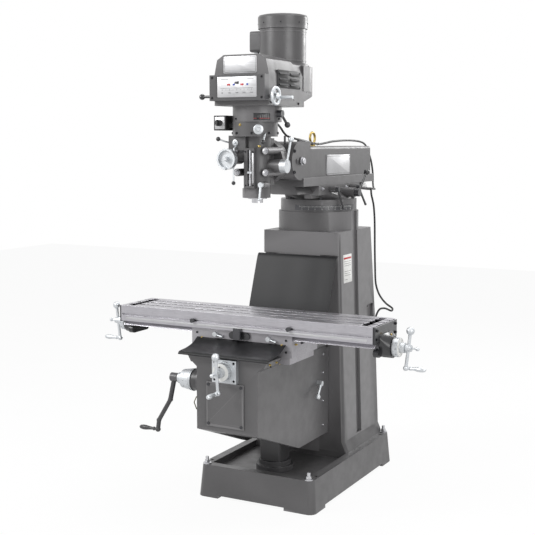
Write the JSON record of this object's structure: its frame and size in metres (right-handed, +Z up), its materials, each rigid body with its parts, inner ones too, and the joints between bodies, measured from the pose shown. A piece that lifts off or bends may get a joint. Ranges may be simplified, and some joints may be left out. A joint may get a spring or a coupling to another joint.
{
  "type": "vertical turret knee milling machine",
  "caption": "Floor-standing turret mill: base and column, rising knee with cross saddle and long slotted table, sliding ram and tilting variable-speed head with quill.",
  "frame": {"origin": "on the floor, at the centre of the base and of its four anchor holes", "axes": "+X along the table to the operator's right, +Y from the operator to the column, +Z up"},
  "size_m": [1.6466, 1.5425, 2.246],
  "materials": {
    "grey_enamel": "satin enamel on cast iron",
    "enamelled_cover": "satin enamel on sheet and light castings",
    "dark_enamel": "satin dark enamel",
    "machined_iron": "ground and machined",
    "bright_steel": "turned",
    "satin_chrome": "satin chrome",
    "black_iron": "black paint",
    "black_plastic": "matt",
    "black_rubber": "soft sheet and cable sheath",
    "brass": "plated",
    "oil_line": "translucent olive"
  },
  "bodies": {
    "column": {"base_casting": "grey_enamel", "levelling_screws": "bright_steel", "column_casting": "grey_enamel", "elevating_pedestal": "dark_enamel", "rear_way_guard": "black_rubber", "column_cable": "black_rubber"},
    "knee": {"knee_casting": "grey_enamel", "knee_front_cover": "enamelled_cover", "cover_screws": "black_iron", "cross_feed_bracket": "satin_chrome", "lift_shaft_housing": "dark_enamel", "front_way_guard": "black_rubber", "oil_tube": "oil_line"},
    "lift_screw": {"elevating_screw": "bright_steel"},
    "lift_crank": {"knee_crank": "dark_enamel", "lift_dial": "satin_chrome"},
    "cross_screw": {"cross_screw": "bright_steel", "cross_handle": "satin_chrome", "cross_dial": "satin_chrome"},
    "knee_lock": {"knee_lock_lever": "satin_chrome"},
    "saddle": {"saddle_casting": "machined_iron", "table_stop_bracket": "black_iron"},
    "table_lock_left": {"table_lock_left": "satin_chrome"},
    "table_lock_right": {"table_lock_right": "satin_chrome"},
    "table": {"table_casting": "machined_iron", "right_end_bracket": "black_iron", "left_end_bracket": "black_iron", "table_stops": "black_iron"},
    "table_screw": {"table_screw": "bright_steel", "right_handle": "satin_chrome", "left_handle": "satin_chrome", "table_dials": "satin_chrome"},
    "turret": {"turret_casting": "grey_enamel", "degree_band": "black_iron"},
    "front_ram_lock": {"front_ram_lock": "black_iron"},
    "rear_ram_lock": {"rear_ram_lock": "black_iron"},
    "ram_pinion": {"ram_pinion_lever": "black_iron"},
    "ram": {"ram_casting": "grey_enamel", "lifting_eye": "brass", "ram_cable": "black_rubber"},
    "knuckle": {"knuckle": "grey_enamel", "knuckle_cable": "black_rubber"},
    "head": {"head_casting": "grey_enamel", "belt_housing": "enamelled_cover", "speed_panel": "dark_enamel", "motor": "enamelled_cover", "fan_cover": "enamelled_cover", "terminal_box": "dark_enamel", "switch_box": "black_plastic", "depth_stop": "bright_steel", "head_cable": "black_rubber"},
    "quill": {"quill": "bright_steel"},
    "spindle": {"spindle": "bright_steel"},
    "coarse_lever": {"coarse_feed_lever": "satin_chrome"},
    "fine_wheel": {"fine_feed_wheel": "satin_chrome"},
    "speed_wheel": {"speed_handwheel": "satin_chrome"},
    "quill_lock": {"quill_lock_lever": "satin_chrome"},
    "gear_lever": {"gear_lever": "black_iron"},
    "switch_knob": {"switch_knob": "black_plastic"},
    "panel_lever": {"panel_lever": "black_iron"}
  },
  "joints": [
    {"name": "knee_lift", "type": "slide", "parent": "column", "child": "knee", "axis": [0, 0, 1], "range_m": [-0.12, 0.285], "deforming": ["rear_way_guard"]},
    {"name": "lift_screw_turn", "type": "hinge", "parent": "knee", "child": "lift_screw", "pos_m": [0, -0.268, 0.4], "axis": [0, 0, 1], "range_deg": [-8660, 20540]},
    {"name": "lift_crank_turn", "type": "hinge", "parent": "knee", "child": "lift_crank", "pos_m": [-0.25, -0.66, 0.608], "axis": [1, 0, 0], "range_deg": [-17300, 41060]},
    {"name": "saddle_cross", "type": "slide", "parent": "knee", "child": "saddle", "axis": [0, 1, 0], "range_m": [-0.135, 0.155], "deforming": ["front_way_guard"]},
    {"name": "cross_screw_turn", "type": "hinge", "parent": "knee", "child": "cross_screw", "pos_m": [0, -0.722, 0.682], "axis": [0, 1, 0], "range_deg": [-9741, 11181]},
    {"name": "knee_lock_turn", "type": "hinge", "parent": "knee", "child": "knee_lock", "pos_m": [0.17, -0.12, 0.52], "axis": [1, 0, 0], "range_deg": [-40, 40]},
    {"name": "table_long", "type": "slide", "parent": "saddle", "child": "table", "axis": [1, 0, 0], "range_m": [-0.35, 0.35]},
    {"name": "table_screw_turn", "type": "hinge", "parent": "table", "child": "table_screw", "pos_m": [0, -0.485, 0.808], "axis": [1, 0, 0], "range_deg": [-25220, 25220]},
    {"name": "left_table_lock_turn", "type": "hinge", "parent": "saddle", "child": "table_lock_left", "pos_m": [-0.128, -0.6, 0.812], "axis": [0, 1, 0], "range_deg": [-15, 5]},
    {"name": "right_table_lock_turn", "type": "hinge", "parent": "saddle", "child": "table_lock_right", "pos_m": [0.142, -0.6, 0.812], "axis": [0, 1, 0], "range_deg": [-15, 5]},
    {"name": "turret_swivel", "type": "hinge", "parent": "column", "child": "turret", "pos_m": [0, 0.205, 1.328], "axis": [0, 0, 1], "range_deg": [-90, 90], "deforming": ["column_cable"]},
    {"name": "front_ram_lock_turn", "type": "hinge", "parent": "turret", "child": "front_ram_lock", "pos_m": [0.165, 0.065, 1.44], "axis": [1, 0, 0], "range_deg": [-40, 25]},
    {"name": "rear_ram_lock_turn", "type": "hinge", "parent": "turret", "child": "rear_ram_lock", "pos_m": [0.165, 0.32, 1.44], "axis": [1, 0, 0], "range_deg": [-40, 40]},
    {"name": "ram_slide", "type": "slide", "parent": "turret", "child": "ram", "axis": [0, 1, 0], "range_m": [-0.2, 0.12], "deforming": ["ram_cable"]},
    {"name": "ram_pinion_turn", "type": "hinge", "parent": "turret", "child": "ram_pinion", "pos_m": [0.2, 0.2, 1.42], "axis": [1, 0, 0], "range_deg": [-296, 479]},
    {"name": "head_nod", "type": "hinge", "parent": "ram", "child": "knuckle", "pos_m": [0, -0.235, 1.58], "axis": [1, 0, 0], "range_deg": [-35, 45], "deforming": ["knuckle_cable"]},
    {"name": "head_tilt", "type": "hinge", "parent": "knuckle", "child": "head", "pos_m": [0, -0.356, 1.58], "axis": [0, 1, 0], "range_deg": [-90, 90], "deforming": ["head_cable"]},
    {"name": "quill_feed", "type": "slide", "parent": "head", "child": "quill", "axis": [0, 0, 1], "range_m": [-0.127, 0]},
    {"name": "coarse_feed_turn", "type": "hinge", "parent": "head", "child": "coarse_lever", "pos_m": [0.13, -0.43, 1.561], "axis": [1, 0, 0], "range_deg": [-20, 350]},
    {"name": "spindle_spin", "type": "hinge", "parent": "quill", "child": "spindle", "pos_m": [0, -0.441, 1.5], "axis": [0, 0, 1], "continuous": true},
    {"name": "fine_feed_turn", "type": "hinge", "parent": "head", "child": "fine_wheel", "pos_m": [-0.088, -0.56, 1.592], "axis": [0, 1, 0], "continuous": true},
    {"name": "speed_change_turn", "type": "hinge", "parent": "head", "child": "speed_wheel", "pos_m": [0.15, -0.565, 1.863], "axis": [1, 0, 0], "range_deg": [-900, 900]},
    {"name": "quill_lock_turn", "type": "hinge", "parent": "head", "child": "quill_lock", "pos_m": [0.051, -0.5, 1.478], "axis": [0, 1, 0], "range_deg": [-60, 20]},
    {"name": "range_lever_turn", "type": "hinge", "parent": "head", "child": "gear_lever", "pos_m": [0.12, -0.455, 1.79], "axis": [1, 0, 0], "range_deg": [-40, 30]},
    {"name": "switch_turn", "type": "hinge", "parent": "head", "child": "switch_knob", "pos_m": [-0.147, -0.53, 1.751], "axis": [0, 1, 0], "range_deg": [-45, 45]},
    {"name": "panel_lever_pull", "type": "slide", "parent": "head", "child": "panel_lever", "axis": [1, 0, 0], "range_m": [-0.015, 0]}
  ],
  "couplings": [
    {"joint": "lift_screw_turn", "follows": "knee_lift", "rad_per_m": 1256.6},
    {"joint": "lift_crank_turn", "follows": "knee_lift", "rad_per_m": 2513.3},
    {"joint": "cross_screw_turn", "follows": "saddle_cross", "rad_per_m": 1256.6},
    {"joint": "table_screw_turn", "follows": "table_long", "rad_per_m": 1256.6},
    {"joint": "ram_pinion_turn", "follows": "ram_slide", "rad_per_m": -40},
    {"joint": "coarse_feed_turn", "follows": "quill_feed", "rad_per_m": -45.35}
  ]
}
